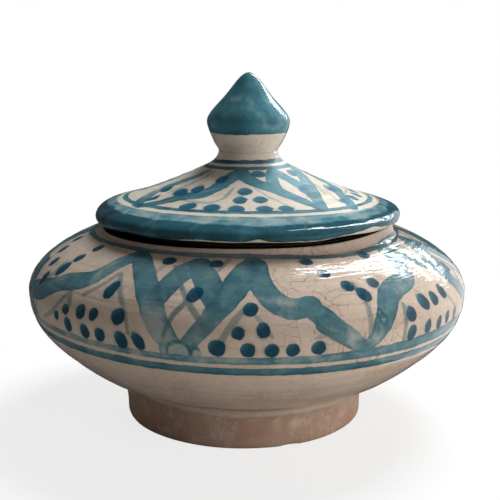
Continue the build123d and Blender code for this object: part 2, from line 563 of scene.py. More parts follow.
def brushTraces(nodes, where, cloud):
    # What the painted layers share: how their edges wander, and how the brush left the paint.
    look = glazeLook
    wide, fine = look["wander"], look["wanderFine"]
    wander = nodes.scaled(nodes.noise(where, "edgeFine"), fine, -(wide + fine) / 2)
    wander = nodes.scaled(nodes.noise(where, "edgeWander"), wide, wander)
    brush = nodes.noise(where, "brush")
    streak = nodes.scaled(brush, 0.8, nodes.times(nodes.noise(where, "dryBrush"), 0.2))
    green = nodes.times(nodes.patches(where, "green"), look["greenShare"])
    return {"wander": wander, "brush": brush, "streak": streak, "green": green, "cloud": cloud}


def paintLayer(nodes, under, prefix, strength, traces, paints):
    # Washes or bands over the colour under them.
    look = paintLook
    thinPaint, usualPaint, fullPaint = paints
    edge = nodes.plus(nodes.field(prefix + "Edge"), traces["wander"])
    covered = nodes.ease(edge, look["soft"], -look["soft"])
    pool = nodes.ease(nodes.maths("ABSOLUTE", nodes.plus(edge, 0.3)), 0.5, 0.0)  # paint dried along the edge
    pool = nodes.times(pool, nodes.ease(traces["cloud"], 0.4, 0.6))
    pool = nodes.scaled(nodes.ease(edge, -2.4, -0.2), 0.3, pool)
    load = nodes.plus(nodes.field(prefix + "Tone"), look["streakBase"])
    load = nodes.scaled(nodes.ease(traces["streak"], 0.3, 0.7), look["streakShare"], load)
    load = nodes.scaled(pool, look["poolShare"], load)
    if prefix == "wash":
        twice = nodes.ease(nodes.plus(nodes.field("washOver"), traces["wander"]), 0.3, -0.7)
        load = nodes.scaled(twice, look["crossShare"], load)
    paint = nodes.mix(nodes.ease(load, *look["usualAt"]), thinPaint, usualPaint)
    paint = nodes.mix(traces["green"], paint, glazeLook["green"])
    paint = nodes.mix(nodes.ease(load, *look["fullAt"]), paint, fullPaint)
    paint = nodes.mix(nodes.ease(load, *look["thickAt"]), paint, glazeLook["thick"])
    cover = nodes.scaled(load, look["coverGrows"], look["coverFrom"], clamp=True)
    return nodes.mix(nodes.times(nodes.times(covered, cover), strength), under, paint)


def thinLines(nodes, under, traces):
    edge = nodes.scaled(traces["wander"], 0.6, nodes.field("lineEdge"))
    line = nodes.times(nodes.ease(edge, 0.35, -0.45), nodes.field("lineTone"))
    broken = nodes.scaled(traces["streak"], 0.9, 0.5)
    return nodes.mix(nodes.maths("MULTIPLY", line, broken, clamp=True), under, glazeLook["line"])


def dotLayer(nodes, under, traces, tones):
    thin, settled = tones
    edge = nodes.scaled(traces["wander"], 1.3, nodes.field("dotEdge"))
    halo = nodes.times(nodes.ease(edge, 1.3, 0.0), nodes.ease(traces["brush"], 0.4, 0.65))
    colour = nodes.mix(nodes.times(halo, glazeLook["haloShare"]), under, thin)
    settle = nodes.scaled(nodes.field("dotSettle"), 0.7, nodes.times(traces["streak"], 0.7))
    paint = nodes.mix(nodes.ease(settle, -0.3, 0.4), thin, settled)
    return nodes.mix(nodes.times(nodes.ease(edge, 0.22, -0.22), glazeLook["dotShare"]), colour, paint)


def glazeMaterial(name, finish):
    look = glazeLook
    material, nodes = newMaterial(name)
    where = nodes.place()
    cream, cloud, mottle = creamColour(nodes, where, finish["cream"])
    crack = crazing(nodes, where, finish)
    traces = brushTraces(nodes, where, cloud)
    colour = paintLayer(nodes, cream, "wash", 0.96, traces, finish["paint"])
    colour = thinLines(nodes, colour, traces)
    colour = paintLayer(nodes, colour, "band", 0.97, traces, finish["paint"])
    colour = dotLayer(nodes, colour, traces, finish["dots"])
    colour = nodes.mix(nodes.times(crack, look["crackShare"]), colour, look["crack"])

    # bare clay where the glaze ends; painted shade where the lid meets the jar: near-black in the gap under
    # the lip, browner beside it in the lid's shadow
    darkening = nodes.times(nodes.ease(nodes.field("lidShadeEdge"), 4.0, 0.8), look["collarShadeShare"])
    colour = nodes.mix(darkening, colour, look["darkening"])
    bare = nodes.scaled(nodes.noise(where, "glazeEnd"), 2.4, nodes.plus(nodes.field("bareEdge"), -1.2))
    bare = nodes.ease(bare, -0.2, 0.2)
    colour = nodes.mix(bare, colour, clayColour(nodes, where))
    colour = nodes.mix(nodes.ease(nodes.field("lidShadeEdge"), 0.15, -0.15), colour, look["lidShade"])
    rough = nodes.scaled(cloud, look["cloudRough"], look["gloss"])
    rough = nodes.scaled(crack, look["crackRough"], rough)
    rough = nodes.scaled(nodes.field("worn"), look["wornRough"], rough)
    rough = nodes.scaled(bare, look["bareRough"], rough)

    # fine rings in the glaze, left by the brush while the pot turned
    down = nodes.add("ShaderNodeCombineXYZ", {2: nodes.times(nodes.field("arc"), mm)}).outputs[0]
    along = nodes.add("ShaderNodeVectorMath", {0: nodes.stretched(where, (0.13, 0.13, 0.0)), 1: down},
                      operation="ADD").outputs[0]
    ripple = nodes.times(nodes.noise(along, "ripple"), finish["ripples"])
    height = nodes.scaled(nodes.noise(where, "swell"), look["swellHeight"], ripple)
    height = nodes.scaled(crack, -look["crackDepth"], height)
    height = nodes.scaled(nodes.patches(where, "pinholes"), -look["pinholeDepth"], height)
    height = nodes.scaled(bare, nodes.times(mottle, look["clayHeight"]), height)
    nodes.fired(colour, rough, height, 1.0, look["reliefDepth"])
    return material


# Foot ring

footPlan = {
    "width": nodeSizes("foot_ring")["radius"], "height": nodeSizes("foot_ring")["high"],
    "lean": 1.4, "wall": 8.0, "taper": 1.5, "edge": 2.6, "steps": 480,
    "lutingOut": 4.4, "lutingUp": 0.75,  # where the smoothed clay runs out on the bowl
    "glazeDown": 3.2, "glazeEnd": [(0.9, 2, 0.6), (0.5, 5, 2.0)],
    "tuck": 0.55, "tuckRise": 6, "uneven": [(0.18, 3, 1.0), (1.05, 1, 0)],  # it sits a little to the left
    "chip": {"turn": 21, "half": 5, "deep": 0.35, "tall": 2.4},
    "crackCell": 3.4, "crackEdges": (0.03, 0.004), "crack": rgb(110, 86, 72), "pit": rgb(104, 82, 68),
    "glazeRim": rgb(134, 108, 90),
    "spots": [((10.5, -43.3, 8.0), 2.6, rgb(196, 170, 128)), ((17.0, -41.2, 8.5), 3.2, rgb(206, 192, 172))],
}


def makeFoot():
    plan = footPlan
    top, joint = plan["height"], plan["width"]
    low = joint - plan["lean"]
    hole = low - plan["wall"]
    holeTop = (hole - plan["taper"], top)
    luting = (joint + plan["lutingOut"], top + plan["lutingUp"])
    outside = smoothCurve([luting, (joint + 0.9, top - 1.2), (joint - 0.5, top * 0.72),
                           (low + 0.1, top * 0.4), (low, 0)], (-1, -0.36), (0, -1), 0.7)
    outline = joinStretches([outside, straightRun((low, 0), (hole, 0), 1.0),
                             straightRun((hole, 0), holeTop, 1.5), straightRun(holeTop, (joint, top), 2.5),
                             straightRun((joint, top), luting, 1.0)])[:-1]
    outline = roundCorner(outline, (low, 0), plan["edge"], 6)
    outline = roundCorner(outline, (hole, 0), plan["edge"], 6)
    piece = spinPiece("footRing", outline, plan["steps"])
    place, turn, arc = readVertices(piece)
    outer = spreadOf(place) > (low + hole) / 2
    depth = top - place[:, 2]
    edge = depth - plan["glazeDown"] - waves(turn, plan["glazeEnd"])
    writeField(piece, "bareEdge", np.where(outer, edge, 5.0))
    # the ring was luted on by hand: its outside is a little uneven, and its lower edge is chipped
    inward = plan["tuck"] + waves(turn, plan["uneven"] + [(0.07, 8, place[:, 2] * 0.3)])
    inward *= ramp(depth, 0, plan["tuckRise"])
    chip = plan["chip"]
    broken = np.clip(1 - (turnGap(turn, chip["turn"]) / chip["half"]) ** 2, 0, 1)
    broken *= ramp(place[:, 2], chip["tall"], -chip["tall"]) * chip["deep"]
    drawIn(place, np.where(outer, inward + broken, 0.0))
    place[:, 2] += np.where(outer, 0.8 * broken, 0.0)
    moveVertices(piece, place)
    return piece


def footMaterial():
    plan = footPlan
    material, nodes = newMaterial("bareFootClay")
    where = nodes.place()
    # fine upright cracks where the clay dried, small pits, and two pale spots where glaze ran down
    upright = nodes.stretched(where, (1.0, 1.0, 0.10))
    crack = nodes.cracks(upright, plan["crackCell"], plan["crackEdges"])
    crack = nodes.times(crack, nodes.patches(where, "footCracks"))
    pit = nodes.patches(where, "footPits")
    colour = nodes.mix(nodes.times(crack, 0.22), clayColour(nodes, where), plan["crack"])
    colour = nodes.mix(nodes.times(pit, 0.5), colour, plan["pit"])
    for spot, size, tint in plan["spots"]:
        ragged = nodes.scaled(nodes.noise(where, "footSpots"), 2.5 * mm, nodes.distance(where, spot))
        near = nodes.ease(ragged, (size + 1.8) * mm, size * 0.5 * mm)
        colour = nodes.mix(nodes.times(near, 0.6), colour, tint)
    edge = nodes.scaled(nodes.noise(where, "glazeEnd"), 3.0, nodes.plus(nodes.field("bareEdge"), -1.5))
    bare = nodes.ease(edge, -0.8, 0.8)
    rim = nodes.ease(nodes.maths("ABSOLUTE", edge), 0.5, 0.1)
    colour = nodes.mix(bare, creamColour(nodes, where, bowlGlaze["cream"])[0], colour)
    colour = nodes.mix(nodes.times(rim, 0.3), colour, plan["glazeRim"])
    height = nodes.scaled(nodes.noise(where, "footGrain"), 1.2, nodes.times(crack, -0.7))
    height = nodes.scaled(pit, -1.2, height)
    height = nodes.scaled(bare, -0.6, height)
    nodes.fired(colour, nodes.scaled(bare, 0.55, 0.22), height, 0.7, 0.2)
    return material


# Bowl

bowlPlan = {
    "belly": nodeSizes("jar_bowl")["radius"], "base": nodeSizes("jar_bowl")["low"],
    "top": nodeSizes("jar_bowl")["high"], "jointRadius": footPlan["width"], "bellyHeight": 49.7,
    "wall": 5.0, "floorThick": 6.5, "floorInset": 6.5, "shoulderWall": 4.6,
    "collarRadius": 53.6, "collarWall": 4.6, "collarHeight": 2.6, "collarEdge": 0.5, "corner": 1.6,
    "bellyShares": [(0.27, 0.09), (0.68, 0.395), (0.93, 0.69)],
    "shoulderShares": [(0.90, 0.33), (0.67, 0.60), (0.18, 0.915)],
    "bellyArc": 37.1,  # the widest line lies this far along the outside from the collar's top
    "fineTo": 14,  # and this far below it the outline gets coarser, because no paint is there
    "steps": 720, "paintGap": 0.8, "plainGap": 3.4,
    "collarSlant": 1.7, "slantFrom": 50.4, "collarDip": 0.1, "collarDips": [(0.75, 30, 24)],
    "tuck": 0.22, "uneven": [(0.14, 2, 0.8)],
    # upper and lower arcs of the painted lines, and how they sway round the jar
    "neckLine": (3.48, 5.5), "neckSway": [(-2.4, 1, quarter), (-1.2, 1, 0), (0.25, 3, 0)],
    "neckDip": [(2.6, 34.95, 19.48)], "neckWide": [(1.8, 61.31, 12.03)],
    "lowerWash": (41.9, 43.7), "washSway": [(0.2, 1, 0), (0.15, 2, 1)],
    "lowerLine": (45.8, 48.8), "lineSway": [(0.9, 1, 0.1), (0.1, 4, 0)],
}

# One painted panel, as it stands at the front: a stroke is paint and path, and a path point is
# azimuth, arc, width, paint.
panelWash = [
    (0.60, [(-37, 6.4, 6.2), (-33.4, 10, 7.0), (-29, 16, 7.5), (-25.4, 22, 7.8, 0.66), (-22, 29, 8.0, 0.42),
            (-19, 35, 7.4, 0.34), (-16.5, 39, 6.4, 0.4), (-15, 42, 5.0)]),
    (0.85, [(-21.8, 24, 7.4), (-20, 17, 8.0, 0.62), (-17.6, 11, 8.3, 0.62), (-14.6, 7.6, 7.6, 0.72)]),
    (0.62, [(-15, 7.8, 7.2), (-12, 13, 8.3), (-9.5, 19, 8.6, 0.7), (-6.9, 25, 7.8, 0.9)]),
    (0.42, [(-14.3, 40.5, 4.8), (-11.5, 36, 5.4, 0.34), (-8.3, 30.5, 6.4, 0.36), (-5.3, 24, 8.6, 0.68),
            (-2.6, 17, 9.2, 0.7), (0, 9.5, 8.2, 0.52), (2, 6, 7.2, 0.8)]),
    (0.30, [(-17.2, 41, 6.4), (-12.0, 41.4, 6.2)]),
    (0.76, [(2.6, 7, 7.2), (2.6, 12, 8.0, 0.92), (4, 18.3, 8.0, 0.62), (6.4, 23.6, 7.9, 0.52),
            (9.5, 26.4, 7.8, 0.48), (12.5, 26.6, 7.4, 0.6), (15.2, 25.8, 6.8, 0.8)]),
    (0.66, [(14.4, 26.3, 6.6), (17.2, 30, 7.0), (20.3, 34.3, 7.0, 0.5)]),
    (0.62, [(17.4, 32.1, 6.4), (20.8, 35, 6.6, 0.44), (24, 38.2, 5.8, 0.42), (27, 41.2, 4.2, 0.6)]),
    (0.60, [(27, 41.6, 3.6), (29.9, 38.4, 5.4, 0.46), (32, 34.6, 6.8, 0.5), (34, 31, 7.4, 0.6),
            (35.6, 27.5, 8.0, 0.74), (38.5, 24.4, 8.0, 0.62), (42, 22.8, 7.6, 0.5), (46, 21.2, 7.4, 0.46),
            (48.6, 18.4, 7.2, 0.5), (50.5, 13, 6.8, 0.7), (52.4, 8, 6.4, 0.95)]),
]
washPools = [  # azimuth, arc, width, height, paint in the middle
    (-15.0, 41.0, 7.2, 6.2, 0.05), (-10.8, 41.4, 3.4, 4.4, 0.15),
    (31.6, 30.8, 2.4, 2.2, 0.35), (32.4, 33.2, 2.6, 2.6, 0.35),
]
panelLines = [
    (0.80, [(-22, 9.5, 1.5), (-19.4, 14, 1.4), (-17, 19, 1.8), (-14, 25, 2.0), (-11, 30, 2.2),
            (-8.5, 34, 1.6)]),
    (0.85, [(-14.2, 24.5, 2.0), (-17, 30.5, 2.0), (-18.4, 36.5, 1.4)]),
    (0.66, [(-6, 4, 1.8), (-8.5, 11, 1.4)]),
    (0.62, [(-1, 27.5, 2.2), (-3.4, 32, 2.4), (-6, 38, 2.0)]),
    (0.55, [(2, 29, 1.7), (3.6, 32, 1.7), (5.6, 35.6, 1.2)]),
    (0.62, [(28.8, 19, 1.4), (29.2, 26, 1.9), (28.9, 33, 2.0), (28.2, 38, 1.5)]),
    (0.72, [(38.5, 41.5, 1.9), (39, 35, 1.8), (39.6, 30, 1.8)]),
    (0.50, [(56, 28, 1.5), (59, 32.5, 1.7), (62, 37.5, 1.5)]),
    (0.46, [(-24.5, 7.5, 1.5), (-26, 12, 1.8), (-26.4, 15, 1.4)]),
    (0.48, [(-8.6, 7, 1.4), (-9.8, 11, 1.5)]),
    (0.50, [(14.6, 36.6, 1.2), (17.6, 36, 1.4), (19.3, 37.4, 1.2)]),
]
panelDots = [  # azimuth, arc, width, height, lean
    (-25, 7.2, 5.0, 4.4, 0), (-9.7, 6.8, 4.8, 4.6, 8), (-13, 22, 4.8, 6.6, 20),
    (0.8, 26.7, 4.8, 5.2, 0), (-1.9, 34.4, 4.4, 4.2, 35), (3.6, 33.4, 4.4, 5.0, -10),
    (-6.4, 39, 5.6, 5.0, 30), (0.2, 39.6, 4.6, 4.8, 0), (5.4, 39.8, 4.8, 4.4, 0),
    (10, 39.7, 4.6, 4.4, 10), (15.8, 39.6, 5.0, 4.8, 0),
    (18.9, 6.3, 4.4, 4.0, 0), (22, 13.3, 4.4, 4.2, 0), (41.5, 6.3, 4.6, 4.2, 0),
    (26.6, 20, 4.6, 5.0, -15), (29.8, 24, 4.6, 6.2, -25), (34.8, 20, 4.8, 4.4, -10),
    (41.3, 33.4, 4.8, 5.4, 10), (47.0, 30.6, 5.2, 6.4, -25), (51.6, 30.6, 4.6, 5.2, -15),
    (56.8, 29.6, 4.4, 5.6, -10),
    (41, 39.6, 4.6, 5.8, 20), (47.2, 39, 3.6, 5.0, 12), (52.2, 39.3, 3.4, 5.0, 10),
    (56.6, 38.8, 3.4, 4.6, 0), (61.6, 38.8, 3.2, 4.6, 0),
]
# What stands left of that panel, up to the silhouette.
leftWash = [
    (0.66, [(-68, 33.3, 6.6), (-64, 32, 8.0), (-60, 30.6, 8.0, 0.56), (-56.5, 28.2, 7.4),
            (-53, 25.6, 7.8, 0.7), (-49, 24, 8.0, 0.74), (-45, 21.6, 7.4, 0.56), (-42.2, 16, 6.8, 0.5),
            (-40, 10.5, 6.8, 0.5), (-37.6, 7, 6.8, 0.66)]),
]
leftLines = [
    (0.66, [(-36.4, 17, 1.9), (-34.5, 21, 1.8), (-31, 27, 1.8), (-28, 33, 1.6), (-27, 37, 1.4)]),
    (0.62, [(-37, 17, 1.9), (-39.5, 23, 1.7), (-43, 28, 1.8)]),
    (0.70, [(-50, 31.5, 1.9), (-48.5, 28.8, 2.0), (-46, 32.5, 1.9)]),
    (0.60, [(-58, 40, 1.5), (-52.5, 36, 1.7), (-50, 31.5, 1.8)]),
]
leftDots = [
    (-58, 8.5, 4.4, 4.6, 0), (-59, 15.5, 4.4, 5.0, 0), (-60, 22, 5.2, 6.6, 0), (-65, 28, 4.6, 6.0, 0),
    (-69.5, 22, 4.2, 5.2, 0), (-76, 17, 4.2, 5.0, 0), (-80, 11, 4.2, 4.6, 0),
    (-35.6, 24, 4.4, 7.8, 8), (-30.3, 32.4, 5.4, 5.8, 0), (-37.4, 33.2, 3.8, 4.2, 25),
    (-41.6, 33.4, 4.4, 4.9, -10), (-47.3, 34.2, 3.8, 3.2, 0), (-50.7, 37.2, 3.2, 3.4, 0),
    (-46, 38.8, 4.0, 4.8, -25), (-39.8, 39.5, 4.4, 5.2, -20), (-35, 39.4, 4.6, 4.8, -25),
    (-29, 39.5, 4.4, 6.2, -25), (-24.4, 39.2, 4.2, 6.4, -34),
]
rightDots = [(62.6, 6, 4.6, 4.2, 0), (71.5, 24, 4.2, 5.2, 0)]
panelTurn = 89.5  # four panels go round the jar


def shifted(items, turn, low=-400, high=400):
    # Strokes or dots turned round the axis, of those that start between two azimuths.
    moved = []
    for item in items:
        if isinstance(item[1], list):
            if low <= item[1][0][0] <= high:
                moved.append((item[0], [(point[0] + turn,) + tuple(point[1:]) for point in item[1]]))
        elif low <= item[0] <= high:
            moved.append((item[0] + turn,) + tuple(item[1:]))
    return moved


def bowlPainting():
    # The front as the photograph shows it, and the same panel on the sides and the back.
    right, back, left = panelTurn, 2 * panelTurn, 3 * panelTurn
    wash = (panelWash + leftWash + shifted(panelWash, right, -40, 60) + shifted(panelWash, back + 1)
            + shifted(panelWash, left, -40, 18))
    lines = (panelLines + leftLines + shifted(panelLines, right) + shifted(panelLines, back)
             + shifted(panelLines, left, high=30))
    dots = (panelDots + leftDots + rightDots + shifted(panelDots, right, low=-8)
            + shifted(panelDots, back + 1) + shifted(panelDots, left, high=17))
    return wash, lines, dots


def neckLine(turn, down):
    upper, lower = bowlPlan["neckLine"]
    drop = waves(turn, bowlPlan["neckSway"]) + bumps(turn, bowlPlan["neckDip"])
    wide = bumps(turn, bowlPlan["neckWide"])
    return upper + drop * 0.95, lower + drop + wide, 0.66 + 0.14 * np.sin(np.radians(turn))


def lowerWash(turn, down):
    upper, lower = bowlPlan["lowerWash"]
    tilt = waves(turn, bowlPlan["washSway"])
    full = 0.5 + 0.5 * np.sin(np.radians(turn) + 0.1)  # fuller and wider towards the right
    upper, lower = upper + tilt - 1.2 * full ** 4, lower + tilt + 1.4 * full
    return upper, lower, 0.20 + 0.34 * full + 0.16 * full * (down - upper) / 3


def lowerLine(turn, down):
    upper, lower = bowlPlan["lowerLine"]
    tilt = waves(turn, bowlPlan["lineSway"])
    upper, lower = upper + tilt * 0.75, lower + tilt
    return upper, lower, 0.56 + 0.34 * (down - upper) / 3


def bowlOutline():
    # From the middle of the floor up the inside, over the collar, and down the outside to the base.
    plan = bowlPlan
    belly, top, base = plan["belly"], plan["top"], plan["base"]
    collar, joint = plan["collarRadius"], plan["jointRadius"]
    mouth = collar - plan["collarWall"]
    neck = top - plan["collarHeight"] - plan["shoulderWall"]
    collarFoot = (collar, top - plan["collarHeight"])
    floor = (joint - plan["floorInset"], base + plan["floorThick"])
    widest, inner = (belly, plan["bellyHeight"]), (belly - plan["wall"], plan["bellyHeight"])
    fine, plain = plan["paintGap"], plan["plainGap"]
    outside = shareCurve(collarFoot, widest, plan["shoulderShares"], (1, -0.4), (0, -1), fine)
    upper = shareCurve(widest, (joint, base), plan["bellyShares"], (0, -1), (-1, -0.1), fine)
    split = np.searchsorted(arcLengths(upper), plan["fineTo"])
    lower = smoothCurve(upper[split::6].tolist() + [(joint, base)], upper[split + 1] - upper[split],
                        (-1, -0.1), plain)
    innerLower = shareCurve(floor, inner, plan["bellyShares"], (1, 0.1), (0, 1), plain)
    innerUpper = shareCurve(inner, (mouth, neck), plan["shoulderShares"], (0, 1), (-1, 0.4), plain)
    outline = joinStretches([
        straightRun((0, floor[1]), floor, 8.0), innerLower, innerUpper,
        straightRun((mouth, neck), (mouth, top), 1.4), straightRun((mouth, top), (collar, top), 1.2),
        straightRun((collar, top), collarFoot, 1.0), outside, upper[:split + 1], lower,
        straightRun((joint, base), (0, base), 6.0)])
    outline = roundCorner(outline, (mouth, neck), plan["corner"], 4)
    outline = roundCorner(outline, (mouth, top), plan["collarEdge"], 4)
    outline = roundCorner(outline, (collar, top), plan["collarEdge"], 4)
    return roundCorner(outline, collarFoot, plan["corner"], 5)


def makeBowl():
    plan = bowlPlan
    outline = bowlOutline()
    piece = spinPiece("thrownBowl", outline, plan["steps"])
    zero = arcLengths(outline)[np.argmax(outline[:, 0])] - plan["bellyArc"]
    ends = arcAt(outline, (plan["jointRadius"], plan["base"]))
    wall = makeWall(outline, zero, zero - 2.0, ends, 9.0)
    wash, lines, dots = bowlPainting()
    paintStrokes(piece, "wash", wash, wall)
    paintPools(piece, washPools, wall)
    paintStrokes(piece, "line", lines, wall)
    paintDots(piece, dots, wall)
    paintBands(piece, [neckLine, lowerWash, lowerLine], wall)

    place, turn, arc = readVertices(piece)
    collar, collarFoot = plan["collarRadius"], plan["top"] - plan["collarHeight"]
    spread, height = spreadOf(place), place[:, 2]
    lidRest = np.maximum(spread - collar + 0.35, collar - plan["collarWall"] + 1.2 - spread)
    writeField(piece, "lidShadeEdge", np.where(height > collarFoot - 4, lidRest, noPaint))  # painted shade under the lid: near-black in the gap, browner on the collar beside it
    writeField(piece, "bareEdge", arc - ends - 2.0)
    # the collar's outer edge slants by a degree: lower on the left, higher on the right
    onEdge = ramp(height, collarFoot, 2) * ramp(spread, plan["slantFrom"], 2)
    dip = plan["collarDip"] + bumps(turn, plan["collarDips"])
    place[:, 2] += (plan["collarSlant"] * np.sin(np.radians(turn)) - dip) * onEdge

    # thrown and dried by hand: a little out of round, with low rings from the fingers
    around, down = np.radians(turn), arc - zero
    outer = (down > 2) & (arc < ends - 2)
    fade = ramp(down, 4, 12) * ramp(arc, ends - 2, -14)
    rings = [(0.06, 3, down * 0.05), (0.05, 0, down * 1.15 + 0.7 * np.sin(around + 1)), (0.03, 2, down * 2.3)]
    inward = plan["tuck"] + waves(turn, plan["uneven"] + rings)
    drawIn(place, np.where(outer, inward * fade, 0.0))
    moveVertices(piece, place)
    return piece


# Lid

lidPlan = {
    "stemRadius": nodeSizes("knob")["radius"] - 4.4, "top": nodeSizes("lid_cover")["high"],
    "radius": nodeSizes("lid_cover")["radius"], "ringBottom": nodeSizes("lid_cover")["low"],
    "seat": bowlPlan["top"], "lipRise": 1.8, "lipTuck": 0.9,
    "rimSwell": 2.2, "rimThick": 3.9, "rimRound": 1.7,
    "slopeShares": [(0.80, 0.13), (0.41, 0.435), (0.12, 0.715), (0.03, 0.845)],
    "ringRadius": 48.0, "ringWall": 3.8, "seatWidth": 1.8, "dripRise": 0.9, "lipThick": 0.9,
    "hollowRise": 1.0, "crownThick": 8.0, "hollowShares": [(0.80, 0.26), (0.45, 0.68), (0.20, 0.93)],
    "steps": 640, "gap": 0.75, "rimGap": 0.5, "hollowGap": 3.0,
    "panelTurn": 112,  # the panel comes about three times round the lid
    "rounding": (0.5, 0.4, 0.3, 0.2, 0.3, 0.4, 1.2, 1.2),  # of the corners from the lip to the ring
    # the lip was cut and smoothed by hand, so its lower edge wanders and hangs lower on the left
    "lipWaves": [(0.12, 7, 2), (0.08, 13, 0), (0.05, 23, 1)], "lipBumps": [(-1.5, -80, 30), (0.5, 38, 9)],
    # the painted rim: arcs of its edges, what the brush missed below, and where its side grows darker
    "rimPaint": (43.9, 53.3), "rimLift": 5.2, "rimWaves": [(0.15, 5, 0), (0.15, 9, 1)],
    "rimMissed": [(0.9, 4, 2.6), (1.9, 49, 9), (0.35, 0, 20), (-1.1, -75, 40)],
    "darkFrom": 46.2, "darkWaves": [(0.5, 2, 0), (0.4, 7, 1), (0.3, 17, 0), (0.2, 37, 0)],
    "darkLeft": [(0.35, -78, 26)],
}
lidRings = [  # upper arc, lower arc, rise in front, sway of the upper and the lower edge, paint
    (3.3, 5.0, 0.7, 0.35, 0.3, 0.8), (6.6, 8.5, 0.85, 0.35, 0.3, 0.7), (39.5, 41.5, 5.05, 0, 0, 0.74),
]
lidPanelWash = [
    (0.72, [(-8, 8.5, 5.2), (-13, 10.5, 5.8), (-18, 14, 6.0, 0.6), (-23, 18.5, 5.8), (-28, 23, 5.6),
            (-34, 26, 5.6, 0.74), (-41, 27.6, 5.4), (-46, 30.8, 5.0), (-51, 34.5, 4.8, 0.84),
            (-57, 38.4, 4.0)]),
    (0.74, [(-8, 8.5, 5.0), (-2, 12, 5.6), (6, 15.6, 5.4), (15, 18.6, 5.2), (22, 21.8, 5.2, 0.62),
            (28, 25.6, 5.2), (33, 29.8, 4.4, 0.8), (38, 35.8, 3.4)]),
    (0.66, [(34, 8.5, 4.4), (28, 10.5, 4.6), (23.6, 14, 4.6, 0.5), (21.6, 18, 4.6), (23, 22, 4.0)]),
    (0.56, [(34, 8.6, 4.2), (39, 12, 5.0), (43, 17, 5.2), (44.5, 22, 4.8), (42.5, 27, 4.4),
            (39.5, 32.5, 3.6)]),
    (0.60, [(38.5, 36, 3.0), (42, 30, 4.6), (47, 24.5, 5.4), (54, 19.4, 5.6, 0.5), (62, 15.4, 5.4),
            (72, 11.6, 5.0), (80, 9, 4.6)]),
    (0.60, [(-6, 9, 4.0), (-4.5, 12.5, 3.6)]),
    (0.30, [(-54, 9.5, 2.6), (-60, 15, 3.2), (-67, 21, 4.4, 0.44), (-70, 28, 5.4), (-66, 34, 5.6, 0.66),
            (-61, 38, 4.6)]),
]
lidPanelLines = [
    (0.60, [(-11, 19.5, 1.2), (-14.5, 26, 1.3), (-20, 29.5, 1.2), (-30, 30, 1.2), (-38, 29.8, 1.1)]),
    (0.50, [(5, 19, 1.1), (11, 23.5, 1.1), (17, 28, 1.1), (21, 31, 1.0)]),
    (0.74, [(-43, 9.5, 1.1), (-47, 15, 1.2), (-52, 21, 1.2), (-57, 27, 1.0)]),
    (0.66, [(-49, 9.5, 1.0), (-54, 14, 1.1), (-59, 19, 1.0)]),
    (0.50, [(63, 21.5, 1.1), (59, 27, 1.2), (54.5, 34, 1.1)]),
]
lidPanelDots = [
    (-25, 14.4, 4.2, 5.0, 8), (-37.5, 21.8, 4.8, 5.2, 12), (-47.5, 25.3, 6.0, 5.6, 22),
    (-64.5, 25.5, 4.6, 4.8, 25), (-60, 32.4, 3.6, 5.8, 20), (-1.8, 21.5, 5.4, 5.0, 0),
    (-4.5, 27.3, 5.0, 4.8, 0), (7.4, 26.8, 5.0, 4.8, 0), (-30.6, 33.4, 6.2, 5.0, -18),
    (-17.8, 33, 6.0, 5.0, -12), (-5.3, 33.2, 6.0, 4.6, 0), (8.2, 33, 6.0, 4.4, 0),
    (18.8, 33.2, 5.6, 4.4, 8), (11.6, 10.2, 5.2, 4.2, 0), (57, 11.2, 4.6, 4.2, -20),
    (42.4, 22.6, 4.6, 4.6, -20), (70, 24.8, 5.0, 5.4, -10), (58.5, 33.6, 4.6, 4.2, -10),
    (71.8, 33.4, 5.2, 4.8, -10), (83.5, 34, 5.0, 4.6, -10),
]


def aroundLid(items, second, third):
    # The panel, and what of it starts between two azimuths again on the right and on the left.
    turn = lidPlan["panelTurn"]
    return items + shifted(items, turn, *second) + shifted(items, 2 * turn, *third)


def frontLift(turn):  # the rings sit higher on the slope in front
    return ((1 + np.cos(np.radians(turn))) / 2) ** 2.2


def ringBand(upper, lower, lift, upperSway, lowerSway, paint):
    def edges(turn, down):
        rise, side = lift * frontLift(turn), np.sin(np.radians(turn))
        return upper - rise - upperSway * side, lower - rise - lowerSway * side, paint

    return edges


def rimBand(turn, down):
    # The top of the rim holds less paint than its side, and the line between them wanders.
    plan = lidPlan
    upper, lower = plan["rimPaint"]
    lift = frontLift(turn)
    deep = ramp(down + 1.2 * lift - waves(turn, plan["darkWaves"]), plan["darkFrom"], 0.6)
    lower = lower + waves(turn, plan["rimWaves"]) - bumps(turn, plan["rimMissed"])
    paint = 0.38 + 0.70 * deep + deep * bumps(turn, plan["darkLeft"])
    return upper - plan["rimLift"] * lift, lower, paint


